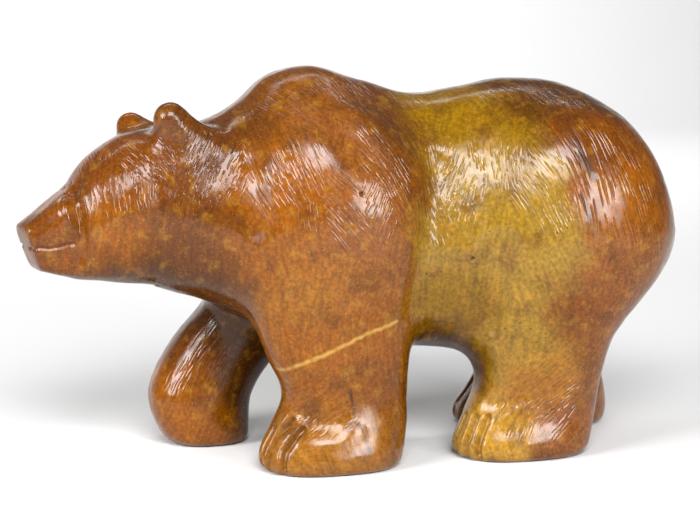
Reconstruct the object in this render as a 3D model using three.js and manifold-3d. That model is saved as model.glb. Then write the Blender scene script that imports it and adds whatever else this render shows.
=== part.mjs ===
// A walking bear carved from one block of soapstone, its head turned a little to its left.
// Millimetres, +Z up. The head points along -X and the bear's left side faces -Y. The origin is on
// the ground, under the middle of the carving. Stations are given from the shoulder end of the back,
// and the finished stone is then moved to its middle.
//
// The form is worked out as one distance field: each limb is a rounded section carried along an
// axis, limbs run together with a fillet, and the zero surface is meshed. Knife cuts are taken
// out of the solid afterwards.
import * as THREE from "three";
import { mergeVertices } from "three/addons/utils/BufferGeometryUtils.js";
import Module from "manifold-3d";

// Driving dimensions

// Trunk stations: x, height of the back, height of the belly, half width.
const TRUNK = [
  [-70, 106, 67, 20],
  [-52, 115.5, 59.5, 28],
  [-40, 126, 54, 33],
  [-29, 135.5, 48, 36],
  [-17, 139.3, 44, 37.5],
  [5, 134.3, 39, 37],
  [24, 129.3, 37, 35.5],
  [42, 131.3, 36, 38],
  [62, 134.5, 39, 41.5],
  [80, 132.7, 44, 42.5],
  [100, 124, 47, 41],
  [125, 105.5, 50, 36],
];
const TRUNK_FRONT = [-55, -80]; // where the chest starts to close, and where it ends
const TRUNK_REAR = [86, 125.5]; // the same for the rump
const TRUNK_SQUARENESS = 2.2; // 2 is an ellipse, more is squarer
const END_SQUARENESS = 2.3; // the same for the closing ends of trunk, head and muzzle
const TRUNK_TAPER = 0.13; // share of the half width lost from mid-height to the back

// Head stations along the head's own axis: distance, top, underside, half width.
const HEAD = [
  [-51.4, 97, 68.5, 13],
  [-49.4, 101.3, 68, 15],
  [-46.6, 105.6, 67.5, 16.8],
  [-43, 109.3, 67, 18.5],
  [-39.3, 112, 66.3, 19.8],
  [-33, 115.6, 65.3, 21.5],
  [-19, 118.5, 64, 23.5],
  [-4, 118, 61, 26],
  [10, 118, 56, 28],
];
const HEAD_FRONT = [-50, -56];
const HEAD_REAR = [0, 30];
const HEAD_SQUARENESS = 2.3;
const HEAD_TURN = THREE.MathUtils.degToRad(13);
const HEAD_PIVOT_X = -50;

// Muzzle stations on the same axis, with a nose that slopes back to the chin.
const MUZZLE = [
  [-67.8, 86.6, 71.8, 7.6],
  [-61, 90.5, 69.6, 9.6],
  [-54, 94.5, 68.4, 11.8],
  [-45, 99.2, 68, 13.6],
];
const MUZZLE_FRONT = [-66.5, -67.8];
const MUZZLE_REAR = [-48, -30];
const MUZZLE_SQUARENESS = 4.2;
const NOSE_SLOPE = 0.33; // set back per millimetre of height
const NOSE_HEIGHT = 84;

// Leg stations, from the sole up: height, front x, rear x, outer y, inner y.
const LEGS = {
  leftFore: {
    stations: [
      [-4, -36, 12, -43.5, -9],
      [6, -37, 14, -44, -8],
      [14, -33, 15.5, -41.5, -8],
      [24, -28.5, 16, -39, -8],
      [40, -34, 17, -39.5, -7],
      [60, -40, 19, -40.5, -5],
      [80, -42, 20, -41, -4],
    ],
    top: [72, 118],
    fillet: 10,
  },
  rightFore: {
    stations: [
      [-4, -59, -32, 36, 8],
      [8, -67, -32, 38, 6],
      [17, -69, -31, 40, 6],
      [27, -66, -25, 40, 7],
      [40, -58, -12, 40, 7],
      [52, -48, 0, 40, 5],
      [75, -40, 14, 40, 4],
    ],
    top: [72, 115],
    fillet: 10,
  },
  leftHind: {
    stations: [
      [-4, 35, 82, -42, -9],
      [6, 34.5, 85, -42.5, -9],
      [14, 38, 87, -40.5, -9],
      [24, 42.5, 88.5, -39.5, -9],
      [40, 44, 93, -41, -7],
      [60, 50, 102, -43, -5],
      [80, 52, 110, -44, -4],
    ],
    top: [70, 120],
    fillet: 15,
  },
  rightHind: {
    stations: [
      [-4, 51, 107.5, 39, -1],
      [6, 50, 109.5, 40, -2],
      [14, 55.5, 109, 40, -1],
      [24, 61, 107, 40, 2],
      [40, 59, 105, 41, 5],
      [60, 56, 106, 43, 5],
      [80, 54, 111, 44, 4],
    ],
    top: [70, 120],
    fillet: 15,
  },
};
const LEG_SQUARENESS = 2.4;
const SOLE_ROUNDING = 5; // fillet round the edge of each sole
const SOLE_DEPTH = 0.8; // stone below the ground line, which the flat sole cuts off

// Shoulder blades, which stand out of the trunk: centre, half sizes.
const SHOULDER = { x: -10, y: 27.5, z: 90, half: [25, 14, 34], fillet: 14 };

// Ears, in the head's frame: tip, rear foot and front foot, each with its radius.
const EARS = [
  { side: -1, tip: [-20.4, 17, 122.4, 4.2], rear: [-7, 17, 112.5, 6], front: [-17.5, 14.4, 109.5, 8.6] },
  { side: 1, tip: [-22, 17, 117.8, 3.6], rear: [-9, 17, 112, 5.5], front: [-20, 14.4, 108.5, 7.6] },
];
const EAR_FILLET = 7;
const EAR_WEB = 6; // fillet between an ear's two ridges
const EAR_REACH = 15; // radius of the lump of stone that carries one ear
const EAR_SINK = 0.8; // how far that lump's skirt runs in under the skin of the head

const NECK_FILLET = 12;
const MUZZLE_FILLET = 2;

// Toe cuts: the paws whose toes show, each with its front edge, its two sides and the knuckle.
const TOE_CUTS = 4;
const TOE_CUT_DEPTH = 2.1;
const TOE_CUT_WIDTH = 2.8;
const TOE_ARC = 11; // sets how much further back the outer toes start
const TOED_PAWS = [
  { toe: -37, outer: -44, inner: -8, knuckle: -34.4, instep: -30 },
  { toe: 34.3, outer: -42.5, inner: -9, knuckle: 37, instep: 41.5 },
  { toe: 50, outer: 40, inner: -2, knuckle: 53, instep: 58 },
];
const CUT_OVERRUN = 0.8; // each stroke runs on past its ends, so strokes meet
const KNUCKLE_HEIGHT = 13;
const INSTEP_HEIGHT = 21;
const INSTEP_FALL = 9; // sets how much lower the outer cuts start

// Mouth cut, in the head's frame: distance along the axis, height.
const MOUTH = [
  [-66.6, 76.6],
  [-60, 77.2],
  [-52.5, 79],
];
const MOUTH_HALF_WIDTHS = [7.4, 9.8, 12.2];
const MOUTH_CUT_DEPTH = 1.1;

// Mesh spacing: fine at the head and the paws, coarse along the trunk.
const FINE = 3.6;
const COARSE = 6.75;
const EAR_SPACING = 2.2;
const HEAD_END = -58; // x where the head gives way to the trunk
const PAW_TOP = 20;
const EXTENT = { x: [-126, 134], y: [-54, 54], z: [-5, 146] };
const SLOPE_STEP = 0.05;
const MIDDLE_X = 4.1; // middle of the carving's length, where the origin goes

const STONE = new THREE.MeshStandardMaterial({ color: 0x9a5a16, roughness: 0.32, metalness: 0 });

// Smooth numbers

// A cubic through one column of a station table, level beyond its ends.
function curveThrough(stations, column) {
  const t = stations.map((row) => row[0]);
  const v = stations.map((row) => row[column]);
  const last = t.length - 1;
  const rise = (i) => (v[i + 1] - v[i]) / (t[i + 1] - t[i]);
  const slope = t.map((_, i) => {
    if (i === 0) return rise(0);
    if (i === last) return rise(last - 1);
    const before = t[i] - t[i - 1];
    const after = t[i + 1] - t[i];
    return (rise(i - 1) * after + rise(i) * before) / (before + after);
  });
  return (at) => {
    const x = Math.min(Math.max(at, t[0]), t[last]);
    let i = 0;
    while (i < last - 1 && x > t[i + 1]) i++;
    const run = t[i + 1] - t[i];
    const s = (x - t[i]) / run;
    const r = 1 - s;
    return (
      v[i] * (1 + 2 * s) * r * r +
      slope[i] * run * s * r * r +
      v[i + 1] * s * s * (3 - 2 * s) -
      slope[i + 1] * run * s * s * r
    );
  };
}

// The lower of two distances, with a fillet of the given reach between the two surfaces.
function join(a, b, fillet) {
  const near = Math.max(fillet - Math.abs(a - b), 0) / fillet;
  return Math.min(a, b) - (near * near * fillet) / 4;
}

// The higher of two distances, with the arris between the two surfaces rounded off.
const common = (a, b, rounding) => -join(-a, -b, rounding);

// A distance from a normalised radius: its value over its slope.
function distance(radius) {
  return (x, y, z) => {
    const r = radius(x, y, z);
    const slope = Math.hypot(
      radius(x + SLOPE_STEP, y, z) - r,
      radius(x, y + SLOPE_STEP, z) - r,
      radius(x, y, z + SLOPE_STEP) - r,
    );
    return r / Math.max(slope / SLOPE_STEP, 1e-3);
  };
}

// How far a point is into a closing end, 0 at its start and 1 at its tip.
const closing = ([start, end], t) => Math.max((t - start) / (end - start), 0);

// The parts of the form

// A body along x whose section at each station is a squared ellipse. The taper narrows it towards the top.
function lengthwise(stations, front, rear, squareness, taper = 0) {
  const top = curveThrough(stations, 1);
  const bottom = curveThrough(stations, 2);
  const halfWidth = curveThrough(stations, 3);
  return distance((x, y, z) => {
    const high = top(x);
    const low = bottom(x);
    const ends = closing(front, x) ** END_SQUARENESS + closing(rear, x) ** END_SQUARENESS;
    const up = (2 * z - high - low) / (high - low);
    const half = halfWidth(x) * (1 - taper * Math.min(Math.max(up, -1), 1));
    const section = Math.abs(y / half) ** squareness + Math.abs(up) ** squareness;
    return (section + ends) ** (1 / squareness) - 1;
  });
}

// A leg along z whose section at each height is a squared ellipse.
function upright({ stations, top }) {
  const [front, rear, outer, inner] = [1, 2, 3, 4].map((column) => curveThrough(stations, column));
  return distance((x, y, z) => {
    const [f, r, o, i] = [front(z), rear(z), outer(z), inner(z)];
    const along = Math.abs((2 * x - f - r) / (r - f)) ** LEG_SQUARENESS;
    const across = Math.abs((2 * y - o - i) / (o - i)) ** LEG_SQUARENESS;
    return (along + across + closing(top, z) ** LEG_SQUARENESS) ** (1 / LEG_SQUARENESS) - 1;
  });
}

function ellipsoid([cx, cy, cz], [a, b, c]) {
  return distance((x, y, z) => Math.hypot((x - cx) / a, (y - cy) / b, (z - cz) / c) - 1);
}

// A rounded ridge from one ball to another.
function ridge([ax, ay, az, ar], [bx, by, bz, br]) {
  const d = [bx - ax, by - ay, bz - az];
  const span = d[0] ** 2 + d[1] ** 2 + d[2] ** 2;
  return (x, y, z) => {
    const along = (x - ax) * d[0] + (y - ay) * d[1] + (z - az) * d[2];
    const t = Math.min(Math.max(along / span, 0), 1);
    const off = Math.hypot(x - ax - t * d[0], y - ay - t * d[1], z - az - t * d[2]);
    return off - ar - (br - ar) * t;
  };
}

const turnCos = Math.cos(HEAD_TURN);
const turnSin = Math.sin(HEAD_TURN);
const toHead = (x, y, z) => [
  (x - HEAD_PIVOT_X) * turnCos + y * turnSin,
  y * turnCos - (x - HEAD_PIVOT_X) * turnSin,
  z,
];
const fromHead = (x, y, z) =>
  new THREE.Vector3(HEAD_PIVOT_X + x * turnCos - y * turnSin, x * turnSin + y * turnCos, z);

const trunk = lengthwise(TRUNK, TRUNK_FRONT, TRUNK_REAR, TRUNK_SQUARENESS, TRUNK_TAPER);
const head = lengthwise(HEAD, HEAD_FRONT, HEAD_REAR, HEAD_SQUARENESS);
const muzzle = lengthwise(MUZZLE, MUZZLE_FRONT, MUZZLE_REAR, MUZZLE_SQUARENESS);
const legs = Object.values(LEGS).map((leg) => ({ form: upright(leg), fillet: leg.fillet }));
const shoulders = [-1, 1].map((side) =>
  ellipsoid([SHOULDER.x, side * SHOULDER.y, SHOULDER.z], SHOULDER.half),
);
const ears = EARS.map(({ side, tip, rear, front }) => {
  const at = ([x, y, z, r]) => [x, side * y, z, r];
  const back = ridge(at(tip), at(rear));
  const leading = ridge(at(tip), at(front));
  return (x, y, z) => join(back(x, y, z), leading(x, y, z), EAR_WEB);
});

// The whole form but for the ears: negative inside the stone, positive outside.
function form(x, y, z) {
  const [hx, hy, hz] = toHead(x, y, z);
  let d = join(trunk(x, y, z), head(hx, hy, hz), NECK_FILLET);
  d = join(d, muzzle(hx - NOSE_SLOPE * (NOSE_HEIGHT - hz), hy, hz), MUZZLE_FILLET);
  for (const blade of shoulders) d = join(d, blade(x, y, z), SHOULDER.fillet);
  d = Math.min(...legs.map((leg) => join(d, leg.form(x, y, z), leg.fillet)));
  return common(d, -z - SOLE_DEPTH, SOLE_ROUNDING);
}

// One ear with the fillet at its foot, on a lump that lies just under the skin of the head.
function earLump(ear, middle) {
  return (x, y, z) => {
    const grown = join(form(x, y, z) + EAR_SINK, ear(...toHead(x, y, z)), EAR_FILLET);
    return common(grown, Math.hypot(x - middle.x, y - middle.y, z - middle.z) - EAR_REACH, 1);
  };
}

// Meshing

// Grid lines from low to high, closer together below a border.
function gridLines([low, high], fine, border = high, coarse = fine) {
  const lines = [low];
  while (lines.at(-1) < high) lines.push(lines.at(-1) + (lines.at(-1) < border ? fine : coarse));
  return lines;
}

// Moves a point onto a field's zero surface, down the slope of the field.
function settle(field, p, steps = 3) {
  for (let n = 0; n < steps; n++) {
    const d = field(p.x, p.y, p.z);
    const slope = new THREE.Vector3(
      field(p.x + SLOPE_STEP, p.y, p.z) - d,
      field(p.x, p.y + SLOPE_STEP, p.z) - d,
      field(p.x, p.y, p.z + SLOPE_STEP) - d,
    ).divideScalar(SLOPE_STEP);
    p.addScaledVector(slope, -d / Math.max(slope.lengthSq(), 0.05));
  }
  return p;
}

// One vertex in each grid cell that the surface crosses, and one quad round each crossed grid edge.
function meshField(field, axes) {
  const [nx, ny, nz] = axes.map((lines) => lines.length);
  const index = (i, j, k) => (i * ny + j) * nz + k;
  const value = new Float64Array(nx * ny * nz);
  for (let i = 0; i < nx; i++)
    for (let j = 0; j < ny; j++)
      for (let k = 0; k < nz; k++) value[index(i, j, k)] = field(axes[0][i], axes[1][j], axes[2][k]);

  const cells = new Map();
  const cellAt = (i, j, k) => {
    const key = index(i, j, k);
    if (!cells.has(key)) cells.set(key, { sum: new THREE.Vector3(), count: 0, id: cells.size });
    return cells.get(key);
  };
  const quads = [];
  const crossEdge = (at, along) => {
    const next = [...at];
    next[along]++;
    const a = value[index(...at)];
    const b = value[index(...next)];
    if (a < 0 === b < 0) return;
    const crossing = new THREE.Vector3(...at.map((n, axis) => axes[axis][n]));
    const run = axes[along][next[along]] - axes[along][at[along]];
    crossing.setComponent(along, crossing.getComponent(along) + (run * a) / (a - b));
    const [u, v] = [(along + 1) % 3, (along + 2) % 3];
    const ring = [[0, 0], [1, 0], [1, 1], [0, 1]].map(([du, dv]) => {
      const place = [...at];
      place[u] -= du;
      place[v] -= dv;
      const cell = cellAt(...place);
      cell.sum.add(crossing);
      cell.count++;
      return cell.id;
    });
    quads.push(a < 0 ? ring : ring.reverse());
  };
  for (let i = 1; i < nx - 1; i++)
    for (let j = 1; j < ny - 1; j++)
      for (let k = 1; k < nz - 1; k++) for (let along = 0; along < 3; along++) crossEdge([i, j, k], along);

  const points = [...cells.values()].map((cell) => settle(field, cell.sum.divideScalar(cell.count)));
  const triangles = quads.flatMap(([a, b, c, d]) => {
    const short = points[a].distanceTo(points[c]) < points[b].distanceTo(points[d]);
    return short ? [a, b, c, a, c, d] : [a, b, d, b, c, d];
  });
  const geometry = new THREE.BufferGeometry().setFromPoints(points);
  geometry.setIndex(triangles);
  return geometry;
}

function bodyMesh() {
  return meshField(form, [
    gridLines(EXTENT.x, FINE, HEAD_END, COARSE),
    gridLines(EXTENT.y, COARSE),
    gridLines(EXTENT.z, FINE, PAW_TOP, COARSE),
  ]);
}

function earMesh(ear, { side, tip, rear }) {
  const middle = fromHead((tip[0] + rear[0]) / 2, (side * (tip[1] + rear[1])) / 2, (tip[2] + rear[2]) / 2);
  const reach = EAR_REACH + 2 * EAR_SPACING;
  const axes = middle.toArray().map((centre) => gridLines([centre - reach, centre + reach], EAR_SPACING));
  return meshField(earLump(ear, middle), axes);
}

// Knife cuts

// A V-shaped cut between two points: a square bar, flattened, with an edge towards the stone.
function knifeCut(from, to, inward, depth, width) {
  const along = new THREE.Vector3().subVectors(to, from);
  const length = along.length() + 2 * CUT_OVERRUN;
  along.normalize();
  const across = new THREE.Vector3().crossVectors(along, inward).normalize();
  const down = new THREE.Vector3().crossVectors(across, along);
  const bar = new THREE.CylinderGeometry(depth, depth, length, 4);
  bar.deleteAttribute("normal");
  bar.deleteAttribute("uv");
  bar.scale(width / (2 * depth), 1, 1);
  bar.applyMatrix4(new THREE.Matrix4().makeBasis(across, along, down));
  const middle = new THREE.Vector3().addVectors(from, to).multiplyScalar(0.5);
  return bar.translate(middle.x, middle.y, middle.z);
}

// Cuts between the toes of one paw, over the knuckle and down to the sole.
function toeCuts({ toe, outer, inner, knuckle, instep }) {
  const inward = new THREE.Vector3(1, 0, -0.5).normalize();
  const middle = (outer + inner) / 2;
  return Array.from({ length: TOE_CUTS }, (_, n) => {
    const share = (n + 1) / (TOE_CUTS + 1) - 0.5;
    const y = middle + share * (outer - inner);
    const setBack = TOE_ARC * share * share;
    const line = [
      [instep + setBack, INSTEP_HEIGHT - INSTEP_FALL * Math.abs(share)],
      [knuckle + setBack, KNUCKLE_HEIGHT],
      [toe + setBack, 6],
      [toe + setBack, -1],
    ].map(([x, z]) => settleForward(new THREE.Vector3(x, y, z)));
    return line.slice(1).map((p, i) => knifeCut(line[i], p, inward, TOE_CUT_DEPTH, TOE_CUT_WIDTH));
  }).flat();
}

// Slides a point along x until it meets the front of the stone.
function settleForward(p) {
  for (let n = 0; n < 12; n++) p.x += Math.max(Math.min(form(p.x, p.y, p.z), 2), -2);
  return p;
}

function mouthCuts() {
  return [-1, 1].flatMap((side) => {
    const line = MOUTH.map(([x, z], n) => fromHead(x, side * MOUTH_HALF_WIDTHS[n], z));
    const inward = fromHead(0, -side, 0).sub(fromHead(0, 0, 0));
    return line.slice(1).map((p, n) => knifeCut(line[n], p, inward, MOUTH_CUT_DEPTH, MOUTH_CUT_DEPTH));
  });
}

const wasm = await Module();
wasm.setup();

function solidOf(geometry) {
  const merged = mergeVertices(geometry, 1e-4);
  return new wasm.Manifold(
    new wasm.Mesh({
      numProp: 3,
      vertProperties: merged.attributes.position.array,
      triVerts: new Uint32Array(merged.index.array),
    }),
  );
}

function groundBelow() {
  const slab = new THREE.BoxGeometry(400, 200, 20).translate(0, 0, -10);
  slab.deleteAttribute("normal");
  slab.deleteAttribute("uv");
  return slab;
}

let stone = solidOf(bodyMesh()).subtract(solidOf(groundBelow()));
ears.forEach((ear, n) => {
  stone = stone.add(solidOf(earMesh(ear, EARS[n])));
});
for (const cut of [...TOED_PAWS.flatMap(toeCuts), ...mouthCuts()]) stone = stone.subtract(solidOf(cut));

const { vertProperties, triVerts } = stone.getMesh();
const carving = new THREE.BufferGeometry();
carving.setAttribute("position", new THREE.BufferAttribute(vertProperties, 3));
carving.setIndex(new THREE.BufferAttribute(triVerts, 1));
carving.translate(-MIDDLE_X, 0, 0);
carving.computeVertexNormals();

const bear = new THREE.Mesh(carving, STONE);
bear.name = "bear";

const part = new THREE.Group();
part.add(bear);
export default part;
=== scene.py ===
import bpy
import numpy as np
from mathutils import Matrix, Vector


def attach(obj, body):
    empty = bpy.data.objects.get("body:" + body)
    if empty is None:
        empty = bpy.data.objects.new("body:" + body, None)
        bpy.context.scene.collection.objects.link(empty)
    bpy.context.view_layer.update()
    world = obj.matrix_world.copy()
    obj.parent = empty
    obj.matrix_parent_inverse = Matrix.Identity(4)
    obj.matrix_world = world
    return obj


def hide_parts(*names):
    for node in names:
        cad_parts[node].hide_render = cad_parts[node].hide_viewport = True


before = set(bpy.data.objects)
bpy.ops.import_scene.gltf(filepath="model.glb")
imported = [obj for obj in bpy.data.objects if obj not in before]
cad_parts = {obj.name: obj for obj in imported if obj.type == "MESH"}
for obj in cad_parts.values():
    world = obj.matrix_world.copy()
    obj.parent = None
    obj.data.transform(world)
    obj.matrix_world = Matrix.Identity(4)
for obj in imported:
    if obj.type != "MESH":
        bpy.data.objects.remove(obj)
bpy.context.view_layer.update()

# The bear: one block of brown and gold soapstone, sawn out, rasped and filed to a walking bear with
# its head turned a little to its left. Toes, mouth and fur were cut by hand with a knife and a scriber,
# and the whole was then warmed and polished with wax.

# Sizes are in millimetres. x runs from the withers to the tail, and MIDDLE_X is moved to the origin.
MIDDLE_X = 4.1
TRUNK = np.array([  # x, height of the back, height of the belly, half width
    (-70, 106, 67, 20), (-52, 115.5, 59.5, 28), (-40, 126, 54, 33), (-29, 135.5, 48, 36),
    (-17, 139.3, 44, 37.5), (5, 134.3, 39, 37), (24, 129.3, 37, 35.5), (42, 131.3, 36, 38),
    (62, 134.5, 39, 41.5), (80, 132.7, 44, 42.5), (100, 124, 47, 41), (125, 105.5, 50, 36),
])
HEAD = np.array([  # distance along the head's axis, top, underside, half width
    (-51.4, 97, 68.5, 13), (-49.4, 101.3, 68, 15), (-46.6, 105.6, 67.5, 16.8),
    (-43, 109.3, 67, 18.5), (-39.3, 112, 66.3, 19.8), (-33, 115.6, 65.3, 21.5),
    (-19, 118.5, 64, 23.5), (-4, 118, 61, 26), (10, 118, 56, 28),
])
MUZZLE = np.array([
    (-67.8, 86.6, 71.8, 7.6), (-61, 90.5, 69.6, 9.6), (-54, 94.5, 68.4, 11.8), (-45, 99.2, 68, 13.6),
])
LEGS = [  # height, front x, rear x, outer y, inner y; height where the top closes; fillet
    ([(-4, -36, 12, -43.5, -9), (6, -37, 14, -44, -8), (14, -33, 15.5, -41.5, -8),
      (24, -28.5, 16, -39, -8), (40, -34, 17, -39.5, -7), (60, -40, 19, -40.5, -5),
      (80, -42, 20, -41, -4)], (72, 118), 10),
    ([(-4, -59, -32, 36, 8), (8, -67, -32, 38, 6), (17, -69, -31, 40, 6),
      (27, -66, -25, 40, 7), (40, -58, -12, 40, 7), (52, -48, 0, 40, 5),
      (75, -40, 14, 40, 4)], (72, 115), 10),
    ([(-4, 35, 82, -42, -9), (6, 34.5, 85, -42.5, -9), (14, 38, 87, -40.5, -9),
      (24, 42.5, 88.5, -39.5, -9), (40, 44, 93, -41, -7), (60, 50, 102, -43, -5),
      (80, 52, 110, -44, -4)], (70, 120), 15),
    ([(-4, 51, 107.5, 39, -1), (6, 50, 109.5, 40, -2), (14, 55.5, 109, 40, -1),
      (24, 61, 107, 40, 2), (40, 59, 105, 41, 5), (60, 56, 106, 43, 5),
      (80, 54, 111, 44, 4)], (70, 120), 15),
]
EARS = [  # side, then tip, rear foot and front foot as x, y, z, radius in the head's frame
    (-1, (-20.4, 17, 122.4, 4.2), (-7, 17, 112.5, 6), (-17.5, 14.4, 109.5, 8.6)),
    (1, (-22, 17, 117.8, 3.6), (-9, 17, 112, 5.5), (-20, 14.4, 108.5, 7.6)),
]
HEAD_PIVOT = np.array([-50.0, 0, 0])
TURN = np.radians(13)
TURN_COS, TURN_SIN = np.cos(TURN), np.sin(TURN)
SHOULDER_MIDDLE = np.array([-10, 27.5, 90])
SHOULDER_HALF = np.array([25.0, 14, 34])
NOSE_SLANT = 0.33
NOSE_LEVEL = 84
NECK_FILLET = 12
MUZZLE_FILLET = 2
SHOULDER_FILLET = 14
EAR_FILLET = 7
EAR_WEB = 6
SOLE_ROUNDING = 4
END_SQUARENESS = 2.3
SLOPE_STEP = 0.05


def through(table, column, at):
    """A cubic through one column of a station table: Hermite pieces whose slope at a station is the mean
    of the two neighbouring rises, each weighted by the other's length; level beyond both ends."""
    t, v = table[:, 0], table[:, column]
    run = np.diff(t)
    rise = np.diff(v) / run
    inner = (rise[:-1] * run[1:] + rise[1:] * run[:-1]) / (run[1:] + run[:-1])
    slope = np.concatenate([rise[:1], inner, rise[-1:]])
    at = np.clip(at, t[0], t[-1])
    i = np.clip(np.searchsorted(t, at) - 1, 0, len(run) - 1)
    s = (at - t[i]) / run[i]
    r = 1 - s
    ends = v[i] * (1 + 2 * s) * r * r + v[i + 1] * (3 - 2 * s) * s * s
    return ends + run[i] * s * r * (slope[i] * r - slope[i + 1] * s)


def join(a, b, fillet):
    """The lower of two distances, less a quarter of the fillet times the square of their nearness."""
    near = np.maximum(fillet - np.abs(a - b), 0) / fillet
    return np.minimum(a, b) - near * near * fillet / 4


def common(a, b, rounding):
    """The higher of two distances, rounded in the same way."""
    return -join(-a, -b, rounding)


def distance(radius, p):
    """A normalised radius over the length of its slope, which is a distance near the surface."""
    r = radius(p)
    square = 0
    for axis in range(3):
        q = p.copy()
        q[:, axis] += SLOPE_STEP
        square = square + ((radius(q) - r) / SLOPE_STEP) ** 2
    return r / np.maximum(np.sqrt(square), 1e-3)


def closing(t, start, end):
    """How far t is into a closing end: 0 at its start, 1 at its tip."""
    return np.maximum((t - start) / (end - start), 0)


def lengthwise(p, table, front, rear, square, taper=0.0):
    """A body along x. Its section is a squared ellipse |y/w|^n + |z/h|^n = 1 with the stations' sizes,
    its half width falling off by the taper from the middle of its height to the top."""

    def radius(q):
        x, y, z = q.T
        top, bottom = through(table, 1, x), through(table, 2, x)
        ends = closing(x, *front) ** END_SQUARENESS + closing(x, *rear) ** END_SQUARENESS
        up = (2 * z - top - bottom) / (top - bottom)
        half = through(table, 3, x) * (1 - taper * np.clip(up, -1, 1))
        return (np.abs(y / half) ** square + np.abs(up) ** square + ends) ** (1 / square) - 1

    return distance(radius, p)


def upright(p, table, top, square=2.4):
    """A leg along z. Its section is a squared ellipse between the stations' front, rear and sides."""

    def radius(q):
        x, y, z = q.T
        front, rear, outer, inner = (through(table, column, z) for column in range(1, 5))
        along = np.abs((2 * x - front - rear) / (rear - front)) ** square
        across = np.abs((2 * y - outer - inner) / (outer - inner)) ** square
        return (along + across + closing(z, *top) ** square) ** (1 / square) - 1

    return distance(radius, p)


def ellipsoid(p, centre, half):
    """The distance to an ellipsoid: |(p - centre) / half| - 1, over its slope."""
    return distance(lambda q: np.linalg.norm((q - centre) / half, axis=1) - 1, p)


def ridge(p, start, end):
    """The distance to a cone with ball ends: from its axis' nearest point, less the radius there."""
    a, b = np.array(start[:3]), np.array(end[:3])
    t = np.clip((p - a) @ (b - a) / ((b - a) @ (b - a)), 0, 1)
    off = np.linalg.norm(p - a - t[:, None] * (b - a), axis=1)
    return off - start[3] - (end[3] - start[3]) * t


def to_head(p):
    """A point in the head's frame, which is turned about an upright axis at the neck."""
    x, y, z = (p - HEAD_PIVOT).T
    return np.stack([x * TURN_COS + y * TURN_SIN, y * TURN_COS - x * TURN_SIN, z], axis=1)


def ear(h, side, tip, rear, front):
    """Two ridges that meet at the tip and run together below it."""
    tip, rear, front = ((x, side * y, z, r) for x, y, z, r in (tip, rear, front))
    return join(ridge(h, tip, rear), ridge(h, tip, front), EAR_WEB)


def stone(p):
    """The whole form: negative inside the stone, positive outside."""
    h = to_head(p)
    d = lengthwise(p, TRUNK, (-55, -80), (86, 125.5), 2.2, 0.13)
    d = join(d, lengthwise(h, HEAD, (-50, -56), (0, 30), 2.3), NECK_FILLET)
    nose = h.copy()
    nose[:, 0] -= NOSE_SLANT * (NOSE_LEVEL - h[:, 2])
    d = join(d, lengthwise(nose, MUZZLE, (-66.5, -67.8), (-48, -30), 4.2), MUZZLE_FILLET)
    for side in (-1, 1):
        d = join(d, ellipsoid(p, SHOULDER_MIDDLE * (1, side, 1), SHOULDER_HALF), SHOULDER_FILLET)
    legs = [(upright(p, np.array(table, float), top), fillet) for table, top, fillet in LEGS]
    d = np.min([join(d, leg, fillet) for leg, fillet in legs], axis=0)
    for row in EARS:
        d = join(d, ear(h, *row), EAR_FILLET)
    return common(d, -p[:, 2], SOLE_ROUNDING)


def slopes(p):
    """The stone's distance at each point, and how it rises along x, y and z."""
    d = stone(p)
    rise = np.empty_like(p)
    for axis in range(3):
        q = p.copy()
        q[:, axis] += SLOPE_STEP
        rise[:, axis] = (stone(q) - d) / SLOPE_STEP
    return d, rise


def settle(p, times):
    """Newton's step down the slope of the distance, which puts points on the stone's surface."""
    for _ in range(times):
        d, rise = slopes(p)
        p = p - (d / np.maximum((rise * rise).sum(1), 0.05))[:, None] * rise
    return p


def skin(low, high, step):
    """The zero surface on a grid: each cell that it crosses holds one point, the mean of the crossings
    on its edges, and each crossed edge has a quad between the four cells round it, cut in two."""
    lines = [np.arange(a, b, step) for a, b in zip(low, high)]
    grid = np.stack(np.meshgrid(*lines, indexing="ij"), axis=-1)
    value = stone(grid.reshape(-1, 3)).reshape(grid.shape[:3])
    total = np.zeros(grid.shape)
    count = np.zeros(grid.shape[:3])
    rings = []
    for along in range(3):
        near = np.take(value, range(value.shape[along] - 1), axis=along)
        far = np.take(value, range(1, value.shape[along]), axis=along)
        crossed = np.argwhere((near < 0) != (far < 0))
        a, b = near[tuple(crossed.T)], far[tuple(crossed.T)]
        place = grid[tuple(crossed.T)]
        place[:, along] += step * a / (a - b)
        u, v = (along + 1) % 3, (along + 2) % 3
        ring = []
        for du, dv in ((0, 0), (1, 0), (1, 1), (0, 1)):
            cell = crossed.copy()
            cell[:, u] -= du
            cell[:, v] -= dv
            np.add.at(total, tuple(cell.T), place)
            np.add.at(count, tuple(cell.T), 1)
            ring.append(np.ravel_multi_index(tuple(cell.T), count.shape))
        ring = np.stack(ring, axis=1)
        rings.append(np.where((a < 0)[:, None], ring, ring[:, ::-1]))
    used = np.flatnonzero(count)
    number = np.full(count.size, -1)
    number[used] = np.arange(len(used))
    points = total.reshape(-1, 3)[used] / count.reshape(-1)[used][:, None]
    quads = number[np.concatenate(rings)]
    return points, np.concatenate([quads[:, [0, 1, 2]], quads[:, [0, 2, 3]]])


def relax(points, triangles, share):
    """Moves each point part of the way to the mean of its neighbours, which evens the triangles out."""
    total = np.zeros_like(points)
    count = np.zeros(len(points))
    for a, b in ((0, 1), (1, 2), (2, 0), (1, 0), (2, 1), (0, 2)):
        np.add.at(total, triangles[:, a], points[triangles[:, b]])
        np.add.at(count, triangles[:, a], 1)
    return points + share * (total / count[:, None] - points)


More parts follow.
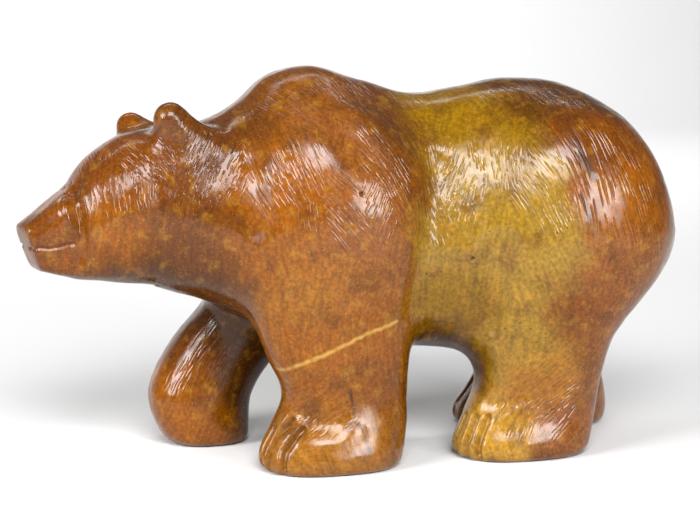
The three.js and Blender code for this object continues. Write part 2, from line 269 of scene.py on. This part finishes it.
def split(points, triangles, spacing):
    """Halves every edge longer than the spacing at its middle, with the new points put on the stone,
    and cuts each triangle into two, three or four, so that neighbours still share their edges."""
    ends = np.stack([triangles, np.roll(triangles, -1, axis=1)], axis=-1).reshape(-1, 2)
    ends = np.sort(ends, axis=1)
    keys, which = np.unique(ends[:, 0] * len(points) + ends[:, 1], return_inverse=True)
    a, b = np.divmod(keys, len(points))
    middle = (points[a] + points[b]) / 2
    cut = np.linalg.norm(points[a] - points[b], axis=1) > spacing(middle)
    fresh = np.full(len(keys), -1)
    fresh[cut] = len(points) + np.arange(cut.sum())
    points = np.concatenate([points, settle(middle[cut], 1)])
    halves = fresh[which.reshape(-1, 3)]
    cuts = (halves >= 0).sum(1)
    rows = [triangles[cuts == 0]]
    for many in (1, 2, 3):
        chosen = np.flatnonzero(cuts == many)
        odd = np.argmax(halves[chosen] >= 0 if many == 1 else halves[chosen] < 0, axis=1)
        turn = (odd[:, None] + np.arange(3)) % 3
        a, b, c = np.take_along_axis(triangles[chosen], turn, axis=1).T
        ab, bc, ca = np.take_along_axis(halves[chosen], turn, axis=1).T
        patterns = {
            1: ((a, ab, c), (ab, b, c)),
            2: ((c, ca, bc), (a, b, bc), (a, bc, ca)),
            3: ((a, ab, ca), (ab, b, bc), (ca, bc, c), (ab, bc, ca)),
        }
        rows += [np.stack(corners, axis=1) for corners in patterns[many]]
    return points, np.concatenate(rows)


def off_line(p, line):
    """The distance from each point to a line of straight pieces."""
    best = np.full(len(p), 1e9)
    for a, b in zip(line[:-1], line[1:]):
        t = np.clip((p - a) @ (b - a) / ((b - a) @ (b - a)), 0, 1)
        best = np.minimum(best, np.linalg.norm(p - a - t[:, None] * (b - a), axis=1))
    return best


def on_stone(corners, pieces=6):
    """A line through the corners, each leg cut into equal pieces, with all points put on the stone."""
    corners = np.array(corners, float)
    t = np.linspace(0, len(corners) - 1, pieces * (len(corners) - 1) + 1)
    line = np.stack([np.interp(t, range(len(corners)), corners[:, axis]) for axis in range(3)], axis=1)
    return settle(line, 3)


def across_head(corners):
    """The same line on the other side of the head."""
    h = to_head(np.array(corners, float)) * (1, -1, 1)
    x, y, z = h.T
    return np.stack([x * TURN_COS - y * TURN_SIN, x * TURN_SIN + y * TURN_COS, z], axis=1) + HEAD_PIVOT


TOES = [  # knife cuts between the toes, from the knuckle down to the sole
    [(-32.6, -26.8, 14.6), (-34.8, -27, 11), (-36.5, -27.6, 6), (-36.3, -27.6, 0)],
    [(-28.2, -32.6, 18.9), (-32, -31.6, 14), (-34.8, -32.3, 9), (-35.6, -33, 0)],
    [(-24.9, -37.5, 16.1), (-28.4, -37.4, 12.2), (-31, -37.6, 9), (-31.6, -38, 0)],
    [(-32.6, -20.5, 15), (-35.5, -20.5, 9), (-36.8, -20.5, 0)],
    [(-31.5, -14, 13), (-34, -14, 8), (-35.4, -14, 0)],
    [(43.1, -35, 15.7), (41.1, -35.7, 11.4), (39.3, -36.6, 7), (39.5, -36.6, 0)],
    [(40, -31, 15), (38.2, -32, 10.9), (36.4, -32.4, 6), (36.4, -32.4, 0)],
    [(38.2, -25.5, 14.5), (36.4, -26, 9.7), (34.9, -26.2, 5), (34.8, -26.2, 0)],
    [(38.2, -18.5, 14), (36, -18.5, 9), (34.9, -18.5, 0)],
    [(59, 7, 18), (54, 7, 10), (52.4, 7, 0)],
    [(57.5, 15, 18), (52.4, 15, 10), (51, 15, 0)],
    [(57.5, 23, 18), (52.4, 23, 10), (51, 23, 0)],
    [(59, 31, 18), (54, 31, 10), (52.4, 31, 0)],
]
MOUTH = [
    (-114, -18.6, 79.4), (-111.4, -22.5, 80.2), (-107.4, -22.7, 79.8),
    (-103.9, -23, 80.3), (-99.9, -23.7, 81.2),
]
BROW = [(-98.7, -17.8, 98.3), (-97.7, -24.1, 88.4), (-96.5, -24, 76.5)]
MUZZLE_EDGE = [(-101.3, -19.2, 96.3), (-101, -23.4, 91.1), (-99.2, -24.2, 84.9)]
HOLLOWS = [  # soft hollows that the rasp left: corners, half width, depth; a ridge has a depth below 0
    ([(26, -33, 106), (22, -36, 92), (18.6, -37.3, 80), (16.4, -36.7, 68), (15.2, -35, 57)], 8, 1.6),
    ([(45.6, -39.6, 76), (44.8, -38.9, 67), (43.8, -36.9, 58), (42.7, -34.2, 50)], 9, 2.4),
    ([(-41.2, -29.6, 107), (-40.7, -33.4, 100), (-39.9, -35.8, 94), (-39.5, -36.9, 87)], 8, 1.0),
    ([(-16, -32, 124.5), (-11.4, -35.5, 121), (-7.2, -38, 117), (-2.8, -39.7, 112)], 12, 1.9),
    ([(-26.2, -34.5, 19.4), (-23.3, -37.4, 18), (-19.4, -39.3, 17.4), (-14, -40.6, 17.6)], 7, 1.2),
    ([(-25.1, -38.1, 14.2), (-19.6, -40.5, 13.4), (-13.6, -41.3, 13.6), (-7.2, -41.2, 14.6)], 6, -0.5),
    ([(43.9, -34, 19), (49.1, -37, 21), (54.2, -38.4, 24)], 5, 0.9),
    ([(3, -44, 86), (5, -44, 80)], 24, -1.0),
]
VEIN = [  # a pale vein across the left foreleg
    (-31.8, -28, 36.1), (-28.6, -33.6, 36.7), (-24.9, -36.7, 39), (-18.5, -38.9, 41.6),
    (-10, -39.8, 45.4), (-3.1, -39.9, 48.8), (1.5, -39.5, 50.1), (8.9, -37.9, 52.5),
]
CRACK = [
    (-7.8, -38.8, 29.5), (-6.9, -39, 24.4), (-6.6, -39.6, 20),
    (-4.1, -41.3, 14.1), (-2.2, -42.9, 8.4),
]
STREAKS = [  # dark streaks in the stone of the rump: corners, half width, darkness
    ([(72.2, -18.6, 129.7), (71, -32.5, 121.2), (73, -38.9, 113.9), (75.8, -42.3, 107.1)], 5, 0.45),
    ([(73, -38.9, 113.9), (75.8, -42.3, 107.1), (78.1, -44.4, 101)], 2.2, 0.85),
    ([(72.6, -45.4, 95.3), (74.2, -46.1, 91.5), (76.3, -46.7, 87.3)], 1.3, 0.95),
]
PITS = [(-5.4, -43.6, 97.6), (-55.2, -24.1, 117.3), (-53, -23.6, 116.7), (36.4, -37.5, 73.2)]

# Each cut has its line, half width and depth.
cuts = [(on_stone(corners), 2.1, 2.2) for corners in TOES]
cuts += [(on_stone(line), 1.0, 0.6) for line in (MOUTH, across_head(MOUTH))]
cuts += [(on_stone(line), 4.2, 1.5) for line in (BROW, across_head(BROW[1:]))]
cuts += [(on_stone(line), 3.2, -1.1) for line in (MUZZLE_EDGE, across_head(MUZZLE_EDGE[1:]))]
vein_line = on_stone(VEIN)
crack_line = on_stone(CRACK)
streaks = [(on_stone(corners, 3), width, share) for corners, width, share in STREAKS]
fine_lines = [line for line, _, _ in cuts + streaks] + [vein_line, crack_line]
fine_lines += [np.array([pit, pit]) + ((0, 0, 0.1), (0, 0, -0.1)) for pit in PITS]


def spacing(p):
    """Edge lengths: shortest along cut lines and in pits, short on head and paws, longer elsewhere."""
    x, y, z = p.T
    size = np.where(y < 0, 1.7, 2.6)
    size = np.where((x < -62) | ((z < 24) & (z > 0.3)), 1.4, size)
    for line in fine_lines:
        inside = ((p > line.min(0) - 3) & (p < line.max(0) + 3)).all(1)
        size[inside] = np.where(off_line(p[inside], line) < 2.2, 0.55, size[inside])
    return np.where(z < 0.05, 6, size)


points, triangles = skin((-128, -54, -6), (136, 54, 147), 2.8)
for _ in range(2):
    points = settle(relax(points, triangles, 0.5), 2)
for _ in range(3):
    points, triangles = split(points, triangles, spacing)
points = settle(points, 1)
normals = slopes(points)[1]
normals /= np.linalg.norm(normals, axis=1)[:, None]


def bowl(off, width):
    """The depth of a rounded cut: (1 - (off / width)^2)^2 inside its half width, and 0 outside."""
    return np.maximum(1 - (off / width) ** 2, 0) ** 2


def unevenness(p, size, seed):
    """The hand's unevenness: a sum of eight sines of the given wave length in scattered directions."""
    way = np.random.default_rng(seed).normal(size=(8, 3))
    way *= 2 * np.pi / size / np.linalg.norm(way, axis=1)[:, None]
    return np.sin(p @ way.T + np.arange(8)).sum(1) / 8


sink = 0.25 * unevenness(points, 17, 1) + 0.09 * unevenness(points, 6, 2)
for line, width, depth in cuts:
    sink += depth * bowl(off_line(points, line), width)
folded = points * np.where(points[:, 1:2] > 0, (1, -1, 1), 1)
for corners, width, depth in HOLLOWS:
    on_both = folded if corners[0][2] > 40 else points
    sink += depth * bowl(off_line(on_both, on_stone(corners)), width)
wavy = points + np.stack([unevenness(points, size, 3) for size in (9, 6, 3.5)], axis=1) * 0.5
vein = bowl(off_line(wavy, vein_line), 1.1)
crack = bowl(off_line(wavy, crack_line), 1.1)
dark = crack * np.clip(0.6 + 1.6 * unevenness(points, 9, 10), 0, 1)
for line, width, share in streaks:
    dark = np.maximum(dark, share * bowl(off_line(wavy, line), width))
for pit in PITS:
    mark = bowl(np.linalg.norm(points - pit, axis=1), 1.0)
    sink += mark
    dark = np.maximum(dark, 0.9 * mark)
carved = points - normals * (sink * np.clip(points[:, 2] / 1.5, 0, 1))[:, None]

# Patches of fur on the left side: x and z of the middle, half sizes along x and z, the strokes' slope
# in degrees up from the tail's direction, their length, pitch and strength. The right has the same.
FUR = [
    (-89, 100, 15, 11, 92, 9, 1.9, 0.75),
    (-73, 109, 13, 7, -52, 6, 1.8, 0.9),
    (-68, 121, 10, 5, 55, 6, 1.9, 0.25),
    (-55, 106, 15, 12, 64, 7, 1.9, 0.8),
    (-31, 106, 13, 19, 112, 11, 2.2, 0.75),
    (-24, 126, 10, 6, -34, 9, 2.3, 0.9),
    (-25, 85, 14, 13, 97, 12, 2.1, 0.6),
    (-9, 91, 11, 13, -50, 13, 1.9, 0.7),
    (0, 94, 10, 12, 62, 8, 1.8, 0.7),
    (9, 107, 12, 20, -58, 13, 2.0, 0.9),
    (22, 97, 9, 19, 103, 9, 2.1, 0.8),
    (32, 99, 10, 13, 66, 9, 2.2, 0.9),
    (46, 106, 13, 8, 89, 8, 2.2, 1.0),
    (62, 97, 11, 15, -62, 11, 2.2, 0.9),
    (78, 105, 13, 22, -73, 17, 2.4, 1.0),
    (94, 98, 12, 25, -68, 16, 2.5, 0.9),
    (8, 131, 26, 7, -60, 8, 2.4, 0.6),
    (64, 128, 26, 7, -55, 9, 2.5, 0.4),
    (64, 66, 16, 14, -66, 9, 2.4, 0.35),
    (68, 26, 14, 15, 38, 10, 2.4, 0.7),
    (52, 18, 10, 9, 60, 8, 2.3, 0.45),
    (-12, 62, 18, 14, 80, 11, 2.4, 0.35),
    (-18, 22, 12, 8, 35, 7, 2.2, 0.5),
    (30, 70, 60, 60, 84, 12, 2.6, 0.12),
    (-70, 85, 50, 40, 84, 12, 2.4, 0.12),
]
FAR_FORELEG = (-57, 36, 15, 19, 57, 12, 2.2, 0.5)


def stroke_frame(p, row):
    """Along and across a patch's strokes, in stroke lengths and pitches, a little curved."""
    x, z, _, _, angle, length, pitch, _ = row
    dx, dz = p[..., 0] - x, p[..., 2] - z
    slope = np.radians(angle)
    along = dx * np.cos(slope) + dz * np.sin(slope)
    across = dz * np.cos(slope) - dx * np.sin(slope) + 0.004 * along * along
    return np.stack([along / length, across / pitch], axis=-1)


def fur():
    """For each triangle's corners, the stroke frame and weight of the patch that is strongest there:
    its strength times a bell of distance, exp(-(dx^2 + dz^2)^2) in half sizes, on skin that faces
    sideways."""
    middle = points[triangles].mean(1)
    faces = normals[triangles[:, 0], 1]
    frames = np.zeros((len(triangles), 3, 2))
    strongest = np.zeros(len(triangles))
    flank = np.clip(3 * np.abs(faces) + 0.3, 0, 1) * (np.sign(faces) == np.sign(middle[:, 1]))
    foreleg = np.clip(0.4 - 3 * faces, 0, 1) * (middle[:, 1] > 4)
    for number, row in enumerate(FUR + [FAR_FORELEG]):
        x, z, wide, high, strength = *row[:4], row[7]
        apart = ((middle[:, 0] - x) / wide) ** 2 + ((middle[:, 2] - z) / high) ** 2
        bell = np.exp(-(apart**2))
        weight = strength * bell * (foreleg if row is FAR_FORELEG else flank)
        best = weight > strongest
        frames[best] = stroke_frame(points[triangles[best]], row) + 37 * number
        strongest[best] = weight[best]
    return frames, strongest


frames, strongest = fur()
total = np.zeros(len(points))
count = np.zeros(len(points))
for corner in range(3):
    np.add.at(total, triangles[:, corner], strongest)
    np.add.at(count, triangles[:, corner], 1)
fur_weight = total / count

# Colours of the block as sRGB, and where they lie: each patch's middle, how far it reaches, its colour.
# The UMBER_AND_SHADE patches under the jaw, under the belly and under the chest between the forelegs are
# painted shade.
AMBER = (115, 62, 3)
HONEY = (122, 76, 19)
CLAY = (107, 60, 21)
TAWNY = (98, 52, 2)
RUSSET = (92, 46, 3)
# the stone's dark brown, used mostly as painted shade under the jaw, belly and chest
UMBER_AND_SHADE = (64, 33, 3)
SIENNA = (79, 41, 7)
OLIVE = (108, 77, 3)
OCHRE = (120, 91, 24)
GOLD = (143, 104, 32)
PATCHES = [
    ((-108, -16, 82), 14, RUSSET), ((-90, -24, 84), 16, AMBER), ((-88, -18, 108), 20, RUSSET),
    # painted shade: the dark patch under the jaw at (-78, -10, 66)
    ((-78, -10, 66), 18, UMBER_AND_SHADE), ((-58, -26, 82), 18, SIENNA), ((-66, -24, 100), 12, RUSSET),
    ((-52, -8, 116), 20, SIENNA), ((-20, -6, 138), 22, TAWNY), ((-14, -30, 122), 14, CLAY),
    ((6, -22, 126), 16, SIENNA), ((-30, -36, 88), 20, AMBER), ((-2, -42, 84), 18, CLAY),
    ((16, -36, 96), 10, RUSSET), ((-14, -38, 48), 20, AMBER), ((-20, -38, 62), 14, HONEY),
    ((2, -36, 28), 16, TAWNY), ((-12, -38, 8), 18, HONEY), ((30, -18, 128), 16, OLIVE),
    ((44, -30, 118), 14, OLIVE), ((34, -36, 84), 18, OCHRE), ((30, -34, 56), 16, OLIVE),
    # painted shade: the dark patch low on the belly at (30, -26, 42)
    ((30, -26, 42), 10, UMBER_AND_SHADE), ((48, -38, 104), 14, OCHRE), ((56, -42, 74), 16, OCHRE),
    # the dark patch on top of the rump is partly the stone's brown and partly painted shade where no
    # highlight falls
    ((72, -10, 134), 22, UMBER_AND_SHADE), ((80, -36, 114), 12, RUSSET), ((92, -42, 92), 16, AMBER),
    ((112, -20, 96), 20, RUSSET), ((88, -42, 62), 18, CLAY), ((72, -42, 54), 10, RUSSET),
    ((56, -40, 44), 12, OCHRE), ((64, -41, 30), 12, HONEY), ((44, -34, 8), 14, GOLD),
    ((76, -38, 12), 15, CLAY), ((-62, 22, 18), 16, AMBER), ((-58, 16, 42), 14, RUSSET),
    # painted shade: the two dark patches under the chest between the forelegs
    ((-40, 14, 50), 14, UMBER_AND_SHADE), ((-38, 20, 26), 14, UMBER_AND_SHADE), ((90, 24, 20), 26, CLAY),
    ((-20, 36, 90), 34, AMBER), ((34, 36, 92), 26, OCHRE), ((84, 40, 92), 30, CLAY),
    # painted shade: the dark patch under the belly at (30, 0, 40)
    ((-88, 14, 92), 24, AMBER), ((30, 0, 40), 26, UMBER_AND_SHADE),
]


def linear(colour):
    """Light from sRGB numbers out of 255, by the standard's power of 2.4."""
    c = np.array(colour) / 255
    return np.where(c > 0.04045, ((c + 0.055) / 1.055) ** 2.4, c / 12.92)


middles = np.array([row[0] for row in PATCHES], float)
reaches = np.array([row[1] for row in PATCHES], float)
wander = np.stack([unevenness(points, 26, seed) for seed in (4, 5, 6)], axis=1) * 9
wander += np.stack([unevenness(points, 9, seed) for seed in (7, 8, 9)], axis=1) * 5
apart = np.linalg.norm((points + wander)[:, None] - middles[None], axis=2) / reaches
share = np.exp(-1.8 * apart**2) + 1e-6
share /= share.sum(1)[:, None]
# the mixed patch colours, which include the painted shade of the UMBER_AND_SHADE patches
tint_and_shade = share @ linear([row[2] for row in PATCHES])
golden = share @ np.array([row[2] in (OLIVE, OCHRE, GOLD) for row in PATCHES], float)

mesh = bpy.data.meshes.new("bear_carving")
mesh.from_pydata((carved - (MIDDLE_X, 0, 0)) * 0.001, [], triangles)
mesh.polygons.foreach_set("use_smooth", np.ones(len(triangles), bool))
tint_and_shade = np.concatenate([tint_and_shade, np.ones((len(tint_and_shade), 1))], axis=1).astype(np.float32)
mesh.attributes.new("tint_and_shade", "FLOAT_COLOR", "POINT").data.foreach_set("color", tint_and_shade.ravel())
frames = frames.astype(np.float32)
mesh.attributes.new("strokes", "FLOAT2", "CORNER").data.foreach_set("vector", frames.ravel())
for name, values in (("fur", fur_weight), ("vein", vein), ("dark", dark), ("golden", golden)):
    values = values.astype(np.float32)
    mesh.attributes.new(name, "FLOAT", "POINT").data.foreach_set("value", values)
bear = bpy.data.objects.new("bear_carving", mesh)
bpy.context.collection.objects.link(bear)

# The stone's finish: tinted by its patches, some of which are painted shade, mottled, flecked pale and
# dark, veined, and waxed to a gloss that the scribed strokes break up.
DARK_MOTTLE = (0.064, 0.018, 0.0026, 1)
PALE_MOTTLE = (0.25, 0.115, 0.01, 1)
PALE_FLECK = (0.34, 0.19, 0.038, 1)
DARK_FLECK = (0.03, 0.015, 0.006, 1)
VEIN_COLOUR = (0.36, 0.215, 0.041, 1)
STREAK_COLOUR = (0.02, 0.008, 0.003, 1)
STROKE_DEPTH = 0.0002
soapstone = bpy.data.materials.new("waxed_soapstone")
soapstone.use_nodes = True
tree = soapstone.node_tree
shader = tree.nodes["Principled BSDF"]


def add(kind, inputs=(), **settings):
    """A node of that kind with its settings; each input takes a value or a link from a socket."""
    made = tree.nodes.new(kind)
    for name, value in settings.items():
        setattr(made, name, value)
    for key, value in dict(inputs).items():
        if isinstance(value, bpy.types.NodeSocket):
            tree.links.new(value, made.inputs[key])
        else:
            made.inputs[key].default_value = value
    return made


def ramp(value, low, high, start=0.0, end=1.0):
    """The value carried smoothly from low..high to start..end."""
    inputs = {"Value": value, "From Min": low, "From Max": high, "To Min": start, "To Max": end}
    return add("ShaderNodeMapRange", inputs, interpolation_type="SMOOTHSTEP").outputs[0]


def maths(operation, a, b=0.0):
    """One sum, product or other operation on two values."""
    return add("ShaderNodeMath", {0: a, 1: b}, operation=operation).outputs[0]


def mix(share, a, b, how="MIX"):
    """Colour a carried by the share towards colour b, or towards their product."""
    return add("ShaderNodeMix", {0: share, 6: a, 7: b}, data_type="RGBA", blend_type=how).outputs[2]


def attribute(name, output="Fac"):
    """One of the mesh's own values."""
    return add("ShaderNodeAttribute", attribute_name=name).outputs[output]


def vector(x, y, z=0.0):
    """Three values as one vector."""
    return add("ShaderNodeCombineXYZ", {0: x, 1: y, 2: z}).outputs[0]


def noise(scale, detail, place):
    """Cloudy noise about 0.5, with that many cells to a unit of the place."""
    return add("ShaderNodeTexNoise", {"Scale": scale, "Detail": detail, "Vector": place}).outputs["Fac"]


def flecks(scale, place, size):
    """Round flecks, one in each cell: full at a cell's middle and gone at the given distance."""
    cells = add("ShaderNodeTexVoronoi", {"Scale": scale, "Vector": place})
    return ramp(cells.outputs["Distance"], size, size * 0.5)


def chance(place):
    """A random value from 0 to 1 that stays the same for the same place."""
    return add("ShaderNodeTexWhiteNoise", {"Vector": place}, noise_dimensions="3D").outputs["Value"]


def scribed(along, across, seed):
    """Rows of scribed strokes. Each row is one pitch wide and wanders a little; its strokes start at a
    random place, one in four is left out, and each is a rounded groove that fades at both ends."""
    slow = vector(maths("MULTIPLY", along, 0.9), maths("MULTIPLY", across, 0.3), seed)
    sway = maths("SUBTRACT", noise(1, 2, slow), 0.5)
    across = maths("ADD", across, maths("MULTIPLY", sway, 1.3))
    row = maths("FLOOR", across)
    start = maths("ADD", along, maths("MULTIPLY", chance(vector(row, seed)), 5))
    stroke = maths("FLOOR", start)
    t = maths("FRACT", start)
    fade = maths("MULTIPLY", ramp(t, 0, 0.2), ramp(t, 1, 0.55))
    kept = ramp(chance(vector(row, stroke, seed)), 0.2, 0.3)
    off = maths("ABSOLUTE", maths("SUBTRACT", maths("FRACT", across), 0.5))
    return maths("MULTIPLY", ramp(off, 0.22, 0.0), maths("MULTIPLY", fade, kept))


place = add("ShaderNodeTexCoord").outputs["Object"]
frame_of_strokes = add("ShaderNodeSeparateXYZ", {0: attribute("strokes", "Vector")})
along, across = frame_of_strokes.outputs[0], frame_of_strokes.outputs[1]
weight = attribute("fur")
long_strokes = scribed(along, across, 1)
short_strokes = scribed(maths("MULTIPLY", along, 1.4), maths("ADD", across, 0.5), 2)
grooves = maths("MULTIPLY", maths("MAXIMUM", long_strokes, short_strokes), weight)
brushed = noise(1, 3, vector(maths("MULTIPLY", along, 1.2), maths("MULTIPLY", across, 1.7)))

# the patch colours, with painted shade under the jaw, belly and chest
colour = attribute("tint_and_shade", "Color")
colour = mix(ramp(noise(95, 5, place), 0.48, 0.7, 0, 0.55), colour, DARK_MOTTLE)
colour = mix(ramp(noise(210, 4, place), 0.5, 0.72, 0, 0.4), colour, PALE_MOTTLE)
shade = ramp(noise(800, 3, place), 0.25, 0.75, 0.55, 1.35)
colour = mix(0.6, colour, vector(shade, shade, shade), "MULTIPLY")
shade = ramp(brushed, 0.25, 0.75, 0.65, 1.25)
colour = mix(0.6, colour, vector(shade, shade, shade), "MULTIPLY")
colour = mix(maths("MULTIPLY", flecks(900, place, 0.17), 0.55), colour, PALE_FLECK)
spotted = maths("MULTIPLY", attribute("golden"), ramp(noise(60, 2, place), 0.45, 0.6))
colour = mix(maths("MULTIPLY", flecks(330, place, 0.12), spotted), colour, DARK_FLECK)
patchy = ramp(noise(420, 3, place), 0.3, 0.6, 0.35, 0.9)
colour = mix(maths("MULTIPLY", attribute("vein"), patchy), colour, VEIN_COLOUR)
streaky = maths("MULTIPLY", attribute("dark"), ramp(brushed, 0.3, 0.7, 0.5, 1))
colour = mix(streaky, colour, STREAK_COLOUR)
tree.links.new(colour, shader.inputs["Base Color"])

grain = noise(1500, 2, place)
relief = maths("SUBTRACT", maths("MULTIPLY", grain, 0.06), grooves)
combed = maths("ADD", maths("MULTIPLY", weight, 0.35), 0.08)
relief = maths("ADD", relief, maths("MULTIPLY", brushed, combed))
bump = add("ShaderNodeBump", {"Height": relief, "Strength": 1.0, "Distance": STROKE_DEPTH})
tree.links.new(bump.outputs[0], shader.inputs["Normal"])
tree.links.new(ramp(noise(260, 4, place), 0.3, 0.7, 0.14, 0.26), shader.inputs["Roughness"])
shader.inputs["IOR"].default_value = 1.5
shader.inputs["Specular IOR Level"].default_value = 0.34
mesh.materials.append(soapstone)
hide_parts("bear")
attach(bear, "root")

# The stage: a sheet of plain pale paper that curves up far behind the carving, a large soft light above
# the camera, smaller ones from the left and low from the right, and one that lights the paper behind.
BEND_START = 1.6
BEND_RADIUS = 0.8
PAPER_TOP = 1.0
bend = np.linspace(0, np.pi / 2, 16)[1:]
flat = np.linspace(-3, BEND_START, 24)
run = np.concatenate([flat, BEND_START + BEND_RADIUS * np.sin(bend), [BEND_START + BEND_RADIUS]])
rise = np.concatenate([0 * flat, BEND_RADIUS - BEND_RADIUS * np.cos(bend), [PAPER_TOP]])
span = np.linspace(-3, 3, 13)
sheet = [np.repeat(span, len(run)), np.tile(run, len(span)), np.tile(rise, len(span))]
corner = (np.arange(len(span) - 1)[:, None] * len(run) + np.arange(len(run) - 1)).ravel()
floor_mesh = bpy.data.meshes.new("floor")
floor_mesh.from_pydata(np.stack(sheet, axis=1), [], corner[:, None] + (0, len(run), len(run) + 1, 1))
floor_mesh.polygons.foreach_set("use_smooth", np.ones(len(corner), bool))
floor = bpy.data.objects.new("floor", floor_mesh)
bpy.context.collection.objects.link(floor)
paper = bpy.data.materials.new("pale_paper")
paper.use_nodes = True
paper.node_tree.nodes["Principled BSDF"].inputs["Base Color"].default_value = (0.64, 0.64, 0.64, 1)
paper.node_tree.nodes["Principled BSDF"].inputs["Roughness"].default_value = 0.9
floor_mesh.materials.append(paper)

world = bpy.data.worlds.new("studio")
world.use_nodes = True
world.node_tree.nodes["Background"].inputs["Color"].default_value = (1, 1, 1, 1)
world.node_tree.nodes["Background"].inputs["Strength"].default_value = 0.17
bpy.context.scene.world = world
bpy.context.scene.view_settings.view_transform = "Standard"


def looking(place, target):
    """A turn that points an object's -Z from its place to the target, with +Y up."""
    return (Vector(target) - Vector(place)).to_track_quat("-Z", "Y").to_euler()


CARVING = (0, 0, 0.07)
PAPER_BEHIND = (0, 2.4, 0.4)
LIGHTS = [  # name, place, what it is aimed at, width, height, watts
    ("key", (-0.05, -0.8, 0.7), CARVING, 0.6, 0.38, 14.5),
    ("side", (-0.86, -0.38, 0.48), CARVING, 0.38, 0.44, 11.5),
    ("low", (0.46, -0.95, 0.33), CARVING, 0.34, 0.34, 7.5),
    ("backdrop", (0, 0.8, 1.5), PAPER_BEHIND, 1.6, 0.6, 55),
]
for name, spot, target, wide, high, watts in LIGHTS:
    lamp = bpy.data.lights.new(name, "AREA")
    lamp.shape = "RECTANGLE"
    lamp.size = wide
    lamp.size_y = high
    lamp.energy = watts
    lamp_object = bpy.data.objects.new(name, lamp)
    lamp_object.location = spot
    lamp_object.rotation_euler = looking(spot, target)
    bpy.context.collection.objects.link(lamp_object)

VIEW_AZIMUTH = np.radians(14.6)
VIEW_DISTANCE = 0.6052
VIEW_HEIGHT = 0.1561
AIM_RIGHT = 0.00209
AIM_HEIGHT = 0.068
camera = bpy.data.cameras.new("camera")
camera.sensor_width = 36
camera.lens = 86.5
camera_object = bpy.data.objects.new("camera", camera)
right = np.array([np.cos(VIEW_AZIMUTH), -np.sin(VIEW_AZIMUTH), 0])
back = np.array([-np.sin(VIEW_AZIMUTH), -np.cos(VIEW_AZIMUTH), 0])
middle = np.array([-0.001 * MIDDLE_X, 0, 0])
eye = middle + VIEW_DISTANCE * back + (0, 0, VIEW_HEIGHT)
aim = middle + AIM_RIGHT * right + (0, 0, AIM_HEIGHT)
camera_object.location = eye
camera_object.rotation_euler = looking(eye, aim)
bpy.context.collection.objects.link(camera_object)
bpy.context.scene.camera = camera_object
